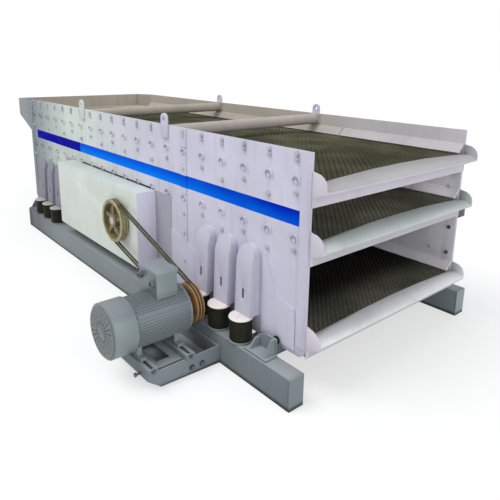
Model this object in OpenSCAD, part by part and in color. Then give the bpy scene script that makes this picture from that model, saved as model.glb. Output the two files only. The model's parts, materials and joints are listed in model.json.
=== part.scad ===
// Triple-deck horizontal vibrating screen on a pair of base girders.
// X runs along the screen from the feed end (-) to the discharge end (+),
// Y across it with the drive side at -Y, Z up from the floor. All sizes in mm.

/* [Screen box] */
// length of the side plates
box_l = 4800; // [4400:50:5200]
// clear width between the side plates
inner_w = 1700; // [1600:20:1800]
// thickness of a side plate
plate_t = 12; // [8:1:16]
// height of the side plates' lower edge above the floor
plate_z = 260; // [250:5:300]
// height of the side plates
plate_h = 1305; // [1300:5:1400]
// radius of the side plates' lower corners
corner_r = 70; // [40:5:110]
// thickness of the plates laid on the side plates' outer faces
doubler_t = 8; // [5:1:10]
// how far the feed box stands out from the side plates
feed_l = 440; // [380:10:480]
// how far the discharge chutes stand out from the side plates
chute_l = 108; // [90:2:130]
// depth of the feed box's cheeks at the side plate
feed_drop = 400; // [380:5:420]
// depth of the chutes' back plates under a screening surface
chute_drop = 130; // [120:2:140]
// sheet thickness of the feed box and the chutes
sheet_t = 10; // [8:1:12]
// radius of the two cross tubes at the top
top_tube_r = 50; // [40:2:56]
// places of the two top cross tubes along X
top_tube_xs = [-770, 825];
// thickness, width and length below the plate's edge of a lifting lug
lug_t = 20; // [14:1:26]
lug_w = 88; // [80:2:96]
lug_drop = 100; // [80:5:120]
// height of a lifting lug's hole over the plate's edge
lug_rise = 46; // [44:1:56]

/* [Decks] */
// height of the top screening surface at the plates
top_deck_z = 1371; // [1350:1:1385]
// height of the middle screening surface
mid_deck_z = 1011; // [990:1:1030]
// height of the bottom screening surface
low_deck_z = 405; // [400:1:420]
// rise of each screening surface at mid width
crown = 30; // [15:1:40]
// thickness of a screening surface
mesh_t = 12; // [8:1:14]
// number of openings drawn along and across a screening surface
mesh_nx = 30; // [20:1:32]
mesh_ny = 12; // [8:1:12]
// width of the solid strips between those openings
mesh_bar = 14; // [10:1:20]
// distance between deck cross beams
beam_pitch = 480; // [440:10:500]
// width of a deck cross beam
beam_w = 90; // [70:5:110]
// height of a deck cross beam
deck_beam_h = 72; // [60:2:80]
// height of the crown rails over the beams at the plates
rail_h = 26; // [22:1:32]
// height of a tensioning rail on the side plate
tension_h = 74; // [60:2:74]
// distance between tensioning bolts
hood_pitch = 240; // [220:5:245]
// outer radius and depth of a tensioning bolt's hood
hood_r = 38; // [34:1:42]
hood_d = 16; // [12:1:24]

/* [Base] */
// where the base girders start and end along X
base_x0 = -2215; // [-2300:5:-2150]
base_x1 = 2437; // [2400:5:2500]
// distance of a girder's outer face from the side plate
base_off = 175; // [168:1:183]
// width of a base girder
base_w = 126; // [120:2:140]
// height of a base girder
base_h = 220; // [200:5:224]
// wall of the girders and cross members
base_t = 10; // [8:1:14]
// distance along X and across Y between foundation bolts
anchor_x = 3400; // [3200:20:3500]
// width of a base cross member
cross_w = 120; // [100:5:140]
// distance of the outer cross members from the middle
cross_x = 1900; // [1800:10:1950]
// distance of a foundation bolt from the girder's inner face
anchor_in = 65; // [55:5:75]
// length and height of a foundation lug
lug_foot_l = 160; // [150:5:180]
lug_foot_h = 150; // [130:5:160]
// radius of a foundation bolt hole
anchor_r = 13; // [11:0.5:15]

/* [Springs] */
// middle of each spring group along X
spring_x = 1660; // [1640:5:1680]
// distance between the springs of a group
spring_pitch = 242; // [236:2:250]
// distance of the springs from the side plate
spring_off = 102; // [98:1:108]
// free radius of a rubber spring
spring_r = 78; // [70:1:80]
// height of a rubber spring
spring_h = 156; // [150:1:160]
// thickness of a spring seat
seat_t = 12; // [8:1:14]
// thickness of a spring cap
cap_t = 16; // [12:1:20]
// height of a spring bracket over its cap
bracket_h = 490; // [450:2:496]
// width of a spring bracket
bracket_w = 156; // [146:2:158]
// height and width of the slot in a spring bracket's front
slot_h = 76; // [60:2:90]
slot_w = 22; // [16:1:28]
// distance of an end stop from the last spring
stop_off = 210; // [200:2:214]
// length of an end stop's foot
stop_l = 216; // [200:2:220]
// height of an end stop over the girder
stop_h = 118; // [112:1:124]
// thickness of the stops' and the motor bracket's plates
stop_t = 14; // [10:1:16]

/* [Exciter] */
// place of the driven shaft along X and its height
drive_x = 325; // [315:1:335]
drive_z = 700; // [695:1:706]
// distance between the three geared shafts
shaft_pitch = 530; // [524:2:532]
// radius of a shaft in its bearings
shaft_r = 50; // [44:1:54]
// outer radius of a tube around a shaft
tube_r = 115; // [105:1:125]
// outer radius of a bearing housing
housing_r = 165; // [150:1:175]
// number of teeth of a gear
gear_teeth = 52; // [48:4:56]
// radius of an eccentric weight
weight_r = 245; // [235:1:248]
// thickness of an eccentric weight
weight_t = 34; // [28:1:36]
// depth of a guard from the side plate
guard_d = 188; // [186:1:192]
// where the guard starts and ends along X
guard_x0 = -1065; // [-1100:5:-1050]
guard_x1 = 650; // [640:5:680]
// where the guard starts and ends in height
guard_z0 = 340; // [330:5:380]
guard_z1 = 998; // [985:1:998]

/* [Drive] */
// distance of the sheaves' middle from the side plate
sheave_off = 228; // [227:1:230]
// width of a sheave
sheave_w = 60; // [54:2:60]
// outer radius of the driven sheave
driven_r = 188; // [180:1:194]
// outer radius of the motor sheave
motor_sheave_r = 150; // [140:1:156]
// distance between the two belts
belt_pitch = 24; // [22:1:26]
// number of spokes of the driven sheave
spokes = 5; // [4:1:6]
// place of the motor along X and its height
motor_x = 1474; // [1460:2:1480]
motor_z = 366; // [364:1:372]
// radius of the motor's frame over its fins
motor_r = 176; // [170:1:178]
// distance from the shaft's shoulder to the fan cover's end
motor_l = 611; // [600:1:620]
// height of the motor's shaft over its feet
motor_h = 195; // [194:1:200]
// height of the terminal box's top over the motor's shaft
box_rise = 339; // [330:1:345]
// length and width of a slide rail under the motor
rail_l = 600; // [580:4:620]
rail_w = 70; // [64:2:76]
// distance between the motor's feet along the shaft
foot_b = 279; // [270:1:280]
// distance between the motor's feet across the shaft
foot_a = 279; // [270:1:286]
// length of the fan cover
cowl_l = 168; // [150:1:168]
// radius of the screws that tighten the belts
screw_r = 8; // [6:1:9]
// outer radius of the fan cover
cowl_r = 187; // [184:1:190]

/* [Hidden] */
$fn = 96;
gap = 0.3;
plate_y = inner_w / 2 + plate_t;
base_y = plate_y + base_off;
spring_y = plate_y + spring_off;
sheave_y = -plate_y - sheave_off;
half_l = box_l / 2;
plate_top = plate_z + plate_h;
decks = [top_deck_z, mid_deck_z, low_deck_z];
deck_half = inner_w / 2;
arc_r = (deck_half * deck_half + crown * crown) / (2 * crown);
mesh_half_y = deck_half - 50;
beam_n = floor((box_l - 800) / 2 / beam_pitch);
hood_n = floor((half_l - 100) / hood_pitch - 0.5);
hood_zs = [top_deck_z + 9, mid_deck_z + 8];
strip_w = half_l - (hood_n + 0.5) * hood_pitch - hood_r - 2;
splice_x = (hood_pitch * 4.5 > guard_x1 + 330) ? hood_pitch * 4.5 : hood_pitch * 5.5;
rail_ys = [-0.76 * deck_half, -0.38 * deck_half, 0, 0.38 * deck_half, 0.76 * deck_half];
crown_line = [for (y = concat(-mesh_half_y, rail_ys, mesh_half_y))
  [y, sqrt(arc_r * arc_r - y * y) - arc_r + crown]];
base_in = base_y - base_w;
seat_z = base_h + seat_t;
cap_z = seat_z + spring_h + gap;
bracket_z = cap_z + cap_t;
stop_x = spring_x + spring_pitch + stop_off;
shaft_xs = [drive_x, drive_x - shaft_pitch, drive_x - 2 * shaft_pitch];
guard_y = plate_y + guard_d;
housing_t = 58;
gear_y0 = plate_y + housing_t + 16;
gear_t = 40;
weight_y0 = gear_y0 + gear_t + 14;
tooth_m = shaft_pitch / gear_teeth;
groove_d = 14;
belt_h = 11;
belt_w = 16;
belt_n = 2;
motor_y1 = sheave_y - 60;
motor_y0 = motor_y1 - motor_l;
rail_top = motor_z - motor_h;
rail_bed = rail_top - 36;
foot_ys = [motor_y1 - 135, motor_y1 - 135 - foot_b];
box_x = motor_x - 20;
box_top = motor_z + box_rise;

steel_light = [0.76, 0.75, 0.82];
steel_base = [0.47, 0.5, 0.53];
steel_dark = [0.3, 0.31, 0.32];
steel_deck = [0.35, 0.35, 0.33];
wire = [0.28, 0.28, 0.2];
black = [0.06, 0.06, 0.06];

/* [Part] */
// which sub-part is drawn

// ---- helpers ----

// box from two corners
module slab(x0, x1, y0, y1, z0, z1) {
  translate([x0, y0, z0]) cube([x1 - x0, y1 - y0, z1 - z0]);
}

// profile in X and Z, drawn from y0 to y1
module across(y0, y1) {
  translate([0, y1, 0]) rotate([90, 0, 0]) linear_extrude(height = y1 - y0) children();
}

// profile in Y and Z, drawn from x0 to x1
module along(x0, x1) {
  translate([x0, 0, 0]) rotate([90, 0, 90]) linear_extrude(height = x1 - x0) children();
}

// round bar along Y
module bar_y(x, z, y0, y1, r) {
  translate([x, y0, z]) rotate([-90, 0, 0]) cylinder(h = y1 - y0, r = r);
}

// round or hexagonal bar along X
module bar_x(x0, x1, y, z, r, sides = 96) {
  translate([x0, y, z]) rotate([0, 90, 0]) cylinder(h = x1 - x0, r = r, $fn = sides);
}

// turned shape about Y: profile points are [radius, y]
module turned(x, z, points) {
  translate([x, 0, z]) rotate([-90, 0, 0]) rotate_extrude() polygon(points);
}

module both_sides() {
  children();
  mirror([0, 1, 0]) children();
}

module both_ends() {
  children();
  mirror([1, 0, 0]) children();
}

// places of the twelve springs
module at_springs() {
  both_sides() both_ends() for (i = [-1:1])
    translate([spring_x + i * spring_pitch, -spring_y, 0]) children();
}

// ---- base ----

module base_girders() {
  color(steel_base) both_sides() difference() {
    slab(base_x0, base_x1, -base_y, -base_in, 0, base_h);
    slab(base_x0 - 1, base_x1 + 1, -base_y + base_t, -base_in - base_t, base_t, base_h - base_t);
  }
}

module girder_ends() {
  color(steel_base) both_sides() {
    slab(base_x1, base_x1 + 12, -base_y, -base_in, 0, base_h);
    slab(base_x0 - 12, base_x0, -base_y, -base_in, 0, base_h);
  }
}

module base_cross_members() {
  half_w = cross_w / 2;
  z0 = 2 * base_t;
  z1 = base_h - 4 * base_t;
  color(steel_base) for (x = [-cross_x, 0, cross_x]) difference() {
    slab(x - half_w, x + half_w, -base_in, base_in, z0, z1);
    slab(x - half_w + base_t, x + half_w - base_t, -base_in - 1, base_in + 1, z0 + base_t, z1 - base_t);
  }
}

module foundation_lugs() {
  half_l = lug_foot_l / 2;
  color(steel_base) both_sides() both_ends() translate([anchor_x / 2, 0, 0]) {
    difference() {
      slab(-half_l, half_l, -base_in, -base_in + anchor_in + 55, 0, 20);
      translate([0, -base_in + anchor_in, -1]) cylinder(h = 22, r = anchor_r);
    }
    for (x = [6 - half_l, half_l - 18]) along(x, x + 12)
      polygon([[-base_in, 20], [-base_in + anchor_in + 45, 20], [-base_in, lug_foot_h]]);
  }
}

module spring_seats() {
  color(steel_base) at_springs() translate([0, 0, base_h]) cylinder(h = seat_t, r = spring_r + 8);
}

module rubber_springs() {
  color(black) at_springs() translate([0, 0, seat_z]) rotate_extrude()
    polygon([[16, 0], [spring_r - 4, 0], [spring_r, 8], [spring_r - 1, spring_h * 0.5],
      [spring_r - 4, spring_h - 6], [spring_r - 9, spring_h], [16, spring_h]]);
}

// upright stop beside each end of the screen box
module stop_brackets() {
  z0 = base_h + stop_t;
  z1 = base_h + stop_h;
  y1 = -base_in - stop_t;
  color(steel_base) both_sides() both_ends() translate([stop_x, 0, 0]) {
    slab(-stop_l / 2, stop_l / 2, -base_y + 12, -base_in - 8, base_h, z0);
    for (p = [[40 - stop_l / 2, z1 - 40], [stop_l / 2 - 30, z1]]) translate([p[0], 0, 0])
      along(-stop_t / 2, stop_t / 2) polygon([[-base_y + 20, z0], [y1, z0], [y1, p[1]], [y1 - 30, p[1]]]);
    across(y1, -base_in) polygon([[stop_t - stop_l / 2, z0], [stop_t - stop_l / 2, z1 - 40], [0, z1],
      [stop_l / 2 - stop_t, z1], [stop_l / 2 - stop_t, z0]]);
  }
}

module stop_buffers() {
  color(black) both_sides() both_ends()
    bar_y(stop_x + stop_l / 4, base_h + stop_h - 32, -base_in, -plate_y - doubler_t - 9, 28);
}

// two gusset plates out from the girder, with a bed under each slide rail
module motor_bracket() {
  x_out = rail_l / 2 - 14;
  x_in = x_out - stop_t;
  half_w = rail_w / 2;
  y_out = foot_ys[1] - half_w;
  y_in = -base_y;
  y_low = foot_ys[1] + 60;
  color(steel_base) translate([motor_x, 0, 0]) {
    both_ends() along(x_in, x_out)
      polygon([[y_in, 4], [y_in, rail_bed], [y_out, rail_bed], [y_out, rail_bed - 46], [y_low, 16]]);
    along(-x_in, x_in) polygon([[y_in, 16], [y_in, 26], [y_low, 26], [y_out + stop_t, rail_bed - 40],
      [y_out + stop_t, rail_bed], [y_out, rail_bed], [y_out, rail_bed - 46], [y_low, 16]]);
    slab(-x_in, x_in, foot_ys[0] - half_w, foot_ys[0] + half_w, rail_bed - 60, rail_bed);
    slab(-x_in, x_in, y_in - stop_t, y_in, 4, rail_bed);
  }
}

module slide_rails() {
  x_out = rail_l / 2;
  x_in = x_out - stop_t;
  color(steel_base) for (y = foot_ys) translate([motor_x, 0, 0]) difference() {
    slab(-x_out, x_out, y - rail_w / 2, y + rail_w / 2, rail_bed, rail_top);
    slab(-x_in, x_in, y - 11, y + 11, rail_bed + 12, rail_top + 1);
    bar_x(x_in - 1, x_out + 1, y, rail_top - 13, screw_r);
  }
}

module adjusting_screws() {
  x1 = motor_x + rail_l / 2;
  y_out = foot_ys[1] - rail_w / 2;
  color(steel_dark) for (y = foot_ys) union() {
    bar_x(x1 - 90, x1, y, rail_top - 13, screw_r);
    bar_x(x1, x1 + 14, y, rail_top - 13, screw_r + 6, 6);
  }
  color(steel_dark) union() {
    bar_y(x1 - 100, rail_bed - 23, y_out - 46, y_out, screw_r);
    bar_y(x1 - 100, rail_bed - 23, y_out - 46, y_out - 34, screw_r + 6);
  }
}

// ---- motor ----

module motor_frame() {
  feet_x = foot_a / 2 + 38;
  rib_x = motor_r - 24;
  color(steel_base) difference() {
    union() {
      bar_y(motor_x, motor_z, motor_y0 + cowl_l, motor_y1 - 28, motor_r - 10);
      slab(motor_x - rib_x, motor_x + rib_x, motor_y0 + cowl_l + 14, motor_y1 - 36, motor_z + 92,
        motor_z + 102);
      bar_y(motor_x, motor_z, motor_y0 + cowl_l - 12, motor_y0 + cowl_l + 6, cowl_r - 5);
      across(motor_y0 + cowl_l + 14, motor_y1 - 36) translate([motor_x, motor_z]) for (a = [-60:6:240])
        rotate(a) translate([motor_r - 16, -2.5]) square([16, 5]);
      turned(motor_x, motor_z, [[40, motor_y1 - 28], [motor_r - 4, motor_y1 - 42],
        [motor_r - 4, motor_y1 - 24], [motor_r - 46, motor_y1 - 6], [60, motor_y1], [40, motor_y1]]);
      for (y = foot_ys) {
        slab(motor_x - feet_x, motor_x + feet_x, y - 20, y + 20, rail_top, rail_top + 20);
        slab(motor_x - feet_x + 50, motor_x + feet_x - 50, y - 16, y + 16, rail_top + 20, motor_z - 90);
      }
    }
    bar_y(motor_x, motor_z, motor_y0, motor_y1 + 1, 24 + gap);
    for (y = foot_ys) for (s = [-1, 1])
      translate([motor_x + s * foot_a / 2, y, rail_top - 1]) cylinder(h = 22, r = 7.5);
  }
}

module motor_cowl() {
  color(steel_base) difference() {
    turned(motor_x, motor_z, [[0, motor_y0], [cowl_r - 18, motor_y0], [cowl_r, motor_y0 + 14],
      [cowl_r, motor_y0 + cowl_l], [cowl_r - 5, motor_y0 + cowl_l], [cowl_r - 5, motor_y0 + 16],
      [cowl_r - 20, motor_y0 + 5], [0, motor_y0 + 5]]);
    across(motor_y0 - 1, motor_y0 + 6) translate([motor_x, motor_z]) for (a = [0:15:345])
      rotate(a) for (r = [52, 88, 124]) translate([r, -3]) square([28, 6]);
  }
}

module terminal_box() {
  color(steel_base) difference() {
    union() {
      slab(box_x - 116, box_x + 116, motor_y1 - 258, motor_y1 - 99, motor_z + 116, box_top - 26);
      slab(box_x - 120, box_x + 120, motor_y1 - 262, motor_y1 - 95, box_top - 26, box_top);
    }
    bar_y(motor_x, motor_z, motor_y0, motor_y1, motor_r + 0.2);
  }
}

module cable_glands() {
  color(steel_dark) for (p = [[-82, -70], [78, -84]]) difference() {
    bar_y(box_x + p[0], box_top + p[1], motor_y1 - 286, motor_y1 - 258, 22);
    bar_y(box_x + p[0], box_top + p[1], motor_y1 - 287, motor_y1 - 266, 14);
  }
}

module motor_shaft() {
  color(steel_dark) bar_y(motor_x, motor_z, motor_y0 + 40, sheave_y + sheave_w / 2 + 4, 24);
}

module motor_fan() {
  color(steel_dark) difference() {
    union() {
      bar_y(motor_x, motor_z, motor_y0 + 45, motor_y0 + 110, 46);
      across(motor_y0 + 52, motor_y0 + 108) translate([motor_x, motor_z]) for (a = [0:45:315])
        rotate(a) translate([40, -3]) square([112, 6]);
    }
    bar_y(motor_x, motor_z, motor_y0 + 44, motor_y0 + 111, 24);
  }
}

// ---- belt drive ----

function groove_ys() = [for (i = [0:belt_n - 1]) sheave_y + (i - (belt_n - 1) / 2) * belt_pitch];

// grooved rim: outer radius r, inner radius ri
module rim(x, z, r, ri) {
  y0 = sheave_y - sheave_w / 2;
  y1 = sheave_y + sheave_w / 2;
  difference() {
    turned(x, z, [[ri, y0], [r - 2, y0], [r, y0 + 2], [r, y1 - 2], [r - 2, y1], [ri, y1]]);
    for (y = groove_ys()) turned(x, z, [[r + 1, y - 9.1], [r + 1, y + 9.1], [r - groove_d, y + 4.6],
      [r - groove_d, y - 4.6]]);
  }
}

module driven_sheave() {
  y0 = sheave_y - sheave_w / 2;
  color([0.5, 0.46, 0.24]) union() {
    rim(drive_x, drive_z, driven_r, driven_r - 34);
    across(y0 + 14, y0 + 42) translate([drive_x, drive_z]) for (i = [0:spokes - 1])
      rotate(90 + i * 360 / spokes) translate([50, -15]) square([driven_r - 80, 30]);
    turned(drive_x, drive_z, [[35, y0 + 2], [62, y0 + 2], [62, y0 + sheave_w - 2], [35, y0 + sheave_w - 2]]);
  }
}

module motor_sheave() {
  y0 = sheave_y - sheave_w / 2;
  color([0.45, 0.27, 0.12]) union() {
    rim(motor_x, motor_z, motor_sheave_r, motor_sheave_r - 34);
    difference() {
      turned(motor_x, motor_z, [[44, y0 + 16], [motor_sheave_r - 33, y0 + 16],
        [motor_sheave_r - 33, y0 + 32], [44, y0 + 32]]);
      for (a = [0:60:300]) translate([motor_x, 0, motor_z]) rotate([0, a, 0])
        bar_y(80, 0, y0, y0 + sheave_w, 18);
    }
    turned(motor_x, motor_z, [[24, y0], [46, y0], [46, y0 + sheave_w], [24, y0 + sheave_w]]);
  }
}

// one belt: two arcs and two straight runs with a wedge section, w wide at the outside
module v_belts() {
  dx = motor_x - drive_x;
  dz = motor_z - drive_z;
  dist = sqrt(dx * dx + dz * dz);
  beta = atan2(dz, dx);
  half = acos((driven_r - motor_sheave_r) / dist);
  run = sqrt(dist * dist - pow(driven_r - motor_sheave_r, 2));
  color(black) for (y = groove_ys()) union() {
    belt_arc(drive_x, drive_z, y, driven_r, beta + half, 360 - 2 * half);
    belt_arc(motor_x, motor_z, y, motor_sheave_r, beta - half, 2 * half);
    for (s = [-1, 1]) translate([drive_x, y, drive_z]) rotate([0, -(beta + s * half), 0])
      translate([driven_r, 0, s > 0 ? -run : 0]) linear_extrude(height = run) belt_section();
  }
}

module belt_section() {
  polygon([[0, -belt_w / 2], [0, belt_w / 2], [-belt_h, belt_w / 2 - 3.2], [-belt_h, -belt_w / 2 + 3.2]]);
}

module belt_arc(x, z, y, r, start, sweep) {
  translate([x, y, z]) rotate([-90, 0, 0]) rotate([0, 0, -start - sweep]) rotate_extrude(angle = sweep)
    translate([r, 0]) belt_section();
}

// ---- screen box ----

module side_profile() {
  union() {
    translate([-half_l, plate_z + corner_r]) square([box_l, plate_h - corner_r]);
    translate([-half_l + corner_r, plate_z]) square([box_l - 2 * corner_r, plate_h]);
    for (s = [-1, 1]) translate([s * (half_l - corner_r), plate_z + corner_r]) circle(r = corner_r);
  }
}

module side_plate() {
  across(-plate_y, -inner_w / 2) difference() {
    side_profile();
    for (x = shaft_xs) translate([x, drive_z]) circle(r = shaft_r + 12);
  }
}

module side_plate_drive() {
  color(steel_light) side_plate();
}

module side_plate_far() {
  color(steel_light) mirror([0, 1, 0]) side_plate();
}

// flat plates on the outer faces: end strips, splice straps, exciter pads, corner stiffeners
module plate_doublers() {
  pad_z1 = hood_zs[1] - 20;
  foot_x = half_l - strip_w - spring_x - 10;
  color(steel_light) both_sides() across(-plate_y - doubler_t, -plate_y) {
    both_ends_2d() {
      translate([half_l - strip_w, plate_z + corner_r]) square([strip_w, plate_h - corner_r]);
      translate([spring_x, bracket_z]) polygon([[340, 449], [375, 449], [447, 288], [468, 212], [515, 189],
        [foot_x - 8, 163], [foot_x, 69], [foot_x, plate_z + 30 - bracket_z], [340, plate_z + 30 - bracket_z]]);
    }
    difference() {
      translate([guard_x0 - 240, guard_z0 - 50]) square([guard_x1 - guard_x0 + 480, pad_z1 - guard_z0 + 50]);
      for (x = shaft_xs) translate([x, drive_z]) circle(r = shaft_r + 12);
    }
    polygon([[guard_x1 + 239, drive_z + 30], [splice_x + 167, drive_z - 70], [splice_x + 167, guard_z0 - 50],
      [guard_x1 + 239, guard_z0 - 50]]);
    difference() {
      translate([splice_x - 38, plate_z + 4]) square([76, plate_h - 8]);
      for (z = hood_zs) translate([splice_x - 39, z - 22]) square([78, hood_r + 26]);
    }
  }
}

module both_ends_2d() {
  children();
  mirror([1, 0]) children();
}

// flanged cross beams from plate to plate under a screening surface
module deck_beams(d) {
  z1 = d - mesh_t / 2 - rail_h;
  z0 = z1 - deck_beam_h;
  color(steel_deck) {
    for (i = [-beam_n:beam_n]) translate([i * beam_pitch, 0, 0]) {
      slab(-beam_w / 2, beam_w / 2, -deck_half, deck_half, z0, z1);
      both_sides() slab(-beam_w / 2 - 40, beam_w / 2 + 40, -deck_half, -deck_half + 14, z0, z1 + 10);
    }
    both_ends() slab(half_l - 100, half_l, -deck_half, deck_half, z0 - 22, z1);
  }
}

module top_deck_beams() {
  deck_beams(top_deck_z);
}

module mid_deck_beams() {
  deck_beams(mid_deck_z);
}

module low_deck_beams() {
  deck_beams(low_deck_z);
}

// lengthwise rails on the cross beams, over which the screening surface is drawn tight
module crown_rails(d) {
  color(steel_deck) for (y = rail_ys) along(-half_l, half_l) translate([0, d - mesh_t / 2])
    polygon(concat([[y + 7, -rail_h], [y - 7, -rail_h]],
      [for (s = [-7, 0, 7]) [y + s, lookup(y + s, crown_line) - gap]]));
}

module top_crown_rails() {
  crown_rails(top_deck_z);
}

module mid_crown_rails() {
  crown_rails(mid_deck_z);
}

module low_crown_rails() {
  crown_rails(low_deck_z);
}

// screening surface bent over the crown rails, with a coarse grid of openings
module mesh(d) {
  x0 = -half_l + 8;
  lx = box_l - 12;
  ly = 2 * mesh_half_y;
  px = (lx - 40) / mesh_nx;
  py = (ly - 40) / mesh_ny;
  color(wire) difference() {
    along(x0, x0 + lx) translate([0, d - mesh_t / 2])
      polygon(concat(crown_line, [for (p = crown_line) [-p[0], p[1] + mesh_t]]));
    translate([x0, -mesh_half_y, d - mesh_t]) linear_extrude(height = crown + 2 * mesh_t)
      for (i = [0:mesh_nx - 1]) for (j = [0:mesh_ny - 1])
        translate([20 + i * px + mesh_bar / 2, 20 + j * py + mesh_bar / 2])
          square([px - mesh_bar, py - mesh_bar]);
  }
}

module top_mesh() {
  mesh(top_deck_z);
}

module mid_mesh() {
  mesh(mid_deck_z);
}

module low_mesh() {
  mesh(low_deck_z);
}

// slanted strips that pull the screening surfaces tight
module tension_rails() {
  color(steel_light) both_sides() for (d = decks) for (i = [-2:1])
    along(i * half_l / 2 + 4, (i + 1) * half_l / 2 - 4)
      polygon([[-deck_half, d + tension_h + 14], [-deck_half, d + tension_h], [-deck_half + 58, d + 14],
        [-deck_half + 68, d + 22]]);
}

// hoods and nuts of the tensioning bolts, outside the side plates
module tension_hoods() {
  color(steel_light) both_sides() for (d = hood_zs) both_ends() for (i = [0:hood_n])
    translate([(i + 0.5) * hood_pitch, 0, d]) hood();
}

module hood() {
  across(-plate_y - hood_d, -plate_y) difference() {
    circle(r = hood_r);
    circle(r = hood_r - 10);
    translate([-hood_r, -hood_r - 4]) square([2 * hood_r, hood_r]);
  }
  bar_y(0, -6, -plate_y - hood_d + 4, -plate_y, 12);
}

module top_tubes() {
  z = plate_top - top_tube_r - 4;
  color(steel_light) for (x = top_tube_xs) union() {
    difference() {
      bar_y(x, z, -deck_half, deck_half, top_tube_r);
      bar_y(x, z, -deck_half - 1, deck_half + 1, top_tube_r - 8);
    }
    both_sides() difference() {
      slab(x - top_tube_r - 24, x + top_tube_r + 24, -deck_half, -deck_half + 12, z - 34, plate_top - 6);
      bar_y(x, z, -deck_half - 1, -deck_half + 13, top_tube_r - 8);
    }
  }
}

module lifting_lugs() {
  color(steel_light) both_sides() for (x = top_tube_xs) across(-plate_y - lug_t, -plate_y) difference() {
    union() {
      translate([x - lug_w / 2, plate_top - lug_drop]) square([lug_w, lug_drop + lug_rise]);
      translate([x, plate_top + lug_rise]) circle(r = lug_w / 2);
    }
    translate([x, plate_top + lug_rise]) circle(r = 17);
  }
}

module feed_box() {
  x0 = -half_l - feed_l;
  color([0.6, 0.56, 0.52]) union() {
    both_sides() across(-plate_y, -plate_y + sheet_t) polygon([[-half_l, plate_top], [x0, plate_top - 16],
      [x0, top_deck_z - 30], [-half_l, plate_top - feed_drop]]);
    slab(x0, x0 + sheet_t, -plate_y + 1, plate_y - 1, top_deck_z - 30, plate_top - 16);
    across(-plate_y + 1, plate_y - 1) polygon([[x0, top_deck_z + 20], [x0, top_deck_z + 8],
      [-half_l, top_deck_z - 4], [-half_l, top_deck_z + 8]]);
    slab(-half_l - 12, -half_l, -plate_y + 1, plate_y - 1, top_deck_z - 100, top_deck_z);
  }
}

// room under the crown line and under the slope of a chute's lip, set down by drop
module lip_room(d, drop, over) {
  x1 = half_l + chute_l + over;
  half_w = plate_y - 1 + over;
  floor_z = d - chute_drop - over;
  top = d + mesh_t / 2 - drop;
  intersection() {
    along(half_l - over, x1) polygon(concat([for (p = crown_line) [p[0], top + p[1]]],
      [[half_w, top], [half_w, floor_z], [-half_w, floor_z], [-half_w, top]]));
    across(-half_w, half_w)
      polygon([[half_l - over, top + crown], [x1, top - 28], [x1, floor_z], [half_l - over, floor_z]]);
  }
}

// discharge chute with a rounded cheek at each side and a lip that rises to the screening surface
module chute(d) {
  x1 = half_l + chute_l;
  color([0.72, 0.72, 0.7]) union() {
    both_sides() across(-plate_y, -plate_y + sheet_t) polygon([[half_l, d + 84], [half_l + 55, d + 74],
      [half_l + 82, d + 58], [x1 - 7, d + 36], [x1, d + 12], [x1, d - 32], [half_l, d - 80]]);
    difference() {
      lip_room(d, 0, 0);
      translate([sheet_t + 1, 0, 0]) lip_room(d, 18, 1);
    }
  }
}

module top_chute() {
  chute(top_deck_z);
}

module mid_chute() {
  chute(mid_deck_z);
}

module low_chute() {
  chute(low_deck_z);
}

module spring_caps() {
  color([0.87, 0.83, 0.82]) at_springs() translate([0, 0, cap_z]) rotate_extrude()
    polygon([[0, 0], [spring_r + 4, 0], [spring_r + 6, 3], [spring_r + 6, cap_t - 9],
      [spring_r + 3, cap_t - 3], [spring_r - 4, cap_t], [0, cap_t]]);
}

// boxed bracket with a rounded head over each spring cap
module bracket_shape(inset) {
  w = bracket_w / 2 - inset;
  y_out = -spring_y + 7 + inset;
  z1 = bracket_z + bracket_h;
  intersection() {
    along(-w, w) polygon([[-plate_y, bracket_z + inset], [y_out, bracket_z + inset],
      [y_out + 14, z1 - 120], [y_out + 50, z1 - inset], [-plate_y, z1 - inset]]);
    across(-base_y, -plate_y) union() {
      translate([-w, bracket_z]) square([2 * w, bracket_h - bracket_w / 2]);
      translate([0, z1 - bracket_w / 2]) circle(r = w);
    }
  }
}

module slot() {
  square([slot_w, slot_h - slot_w], center = true);
  for (s = [-1, 1]) translate([0, s * (slot_h - slot_w) / 2]) circle(r = slot_w / 2);
}

module spring_brackets() {
  color(steel_light) both_sides() both_ends() for (i = [-1:1])
    translate([spring_x + i * spring_pitch, 0, 0]) difference() {
      bracket_shape(0);
      bracket_shape(10);
      across(-spring_y, -spring_y + 25) translate([0, bracket_z + 150]) slot();
    }
}

// ---- exciter ----

module exciter_tubes() {
  color(steel_light) for (x = shaft_xs) difference() {
    bar_y(x, drive_z, -deck_half, deck_half, tube_r);
    bar_y(x, drive_z, -deck_half - 1, deck_half + 1, tube_r - 10);
  }
}

module bearing_housings() {
  y0 = plate_y + doubler_t;
  color(steel_base) both_sides() for (x = shaft_xs) mirror([0, 1, 0])
    turned(x, drive_z, [[shaft_r + gap, y0], [housing_r, y0], [housing_r, y0 + 22],
      [housing_r - 40, y0 + 26], [housing_r - 44, y0 + housing_t - 8], [shaft_r + gap, y0 + housing_t - 8]]);
}

module guard(hole) {
  y0 = -guard_y;
  color([0.84, 0.86, 0.82]) difference() {
    slab(guard_x0, guard_x1, y0, -plate_y - doubler_t, guard_z0, guard_z1);
    slab(guard_x0 + 6, guard_x1 - 6, y0 + 6, -plate_y + 1, guard_z0 + 6, guard_z1 - 6);
    if (hole) bar_y(drive_x, drive_z, y0 - 1, y0 + 7, 48);
  }
}

module drive_guard() {
  guard(true);
}

module far_guard() {
  mirror([0, 1, 0]) guard(false);
}

module shaft(x, y0) {
  color(steel_dark) bar_y(x, drive_z, y0, guard_y - 30, shaft_r);
}

module drive_shaft() {
  color(steel_dark) union() {
    bar_y(drive_x, drive_z, -guard_y + 14, guard_y - 30, shaft_r);
    bar_y(drive_x, drive_z, sheave_y - sheave_w / 2, -guard_y + 14, 35);
  }
}

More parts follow.
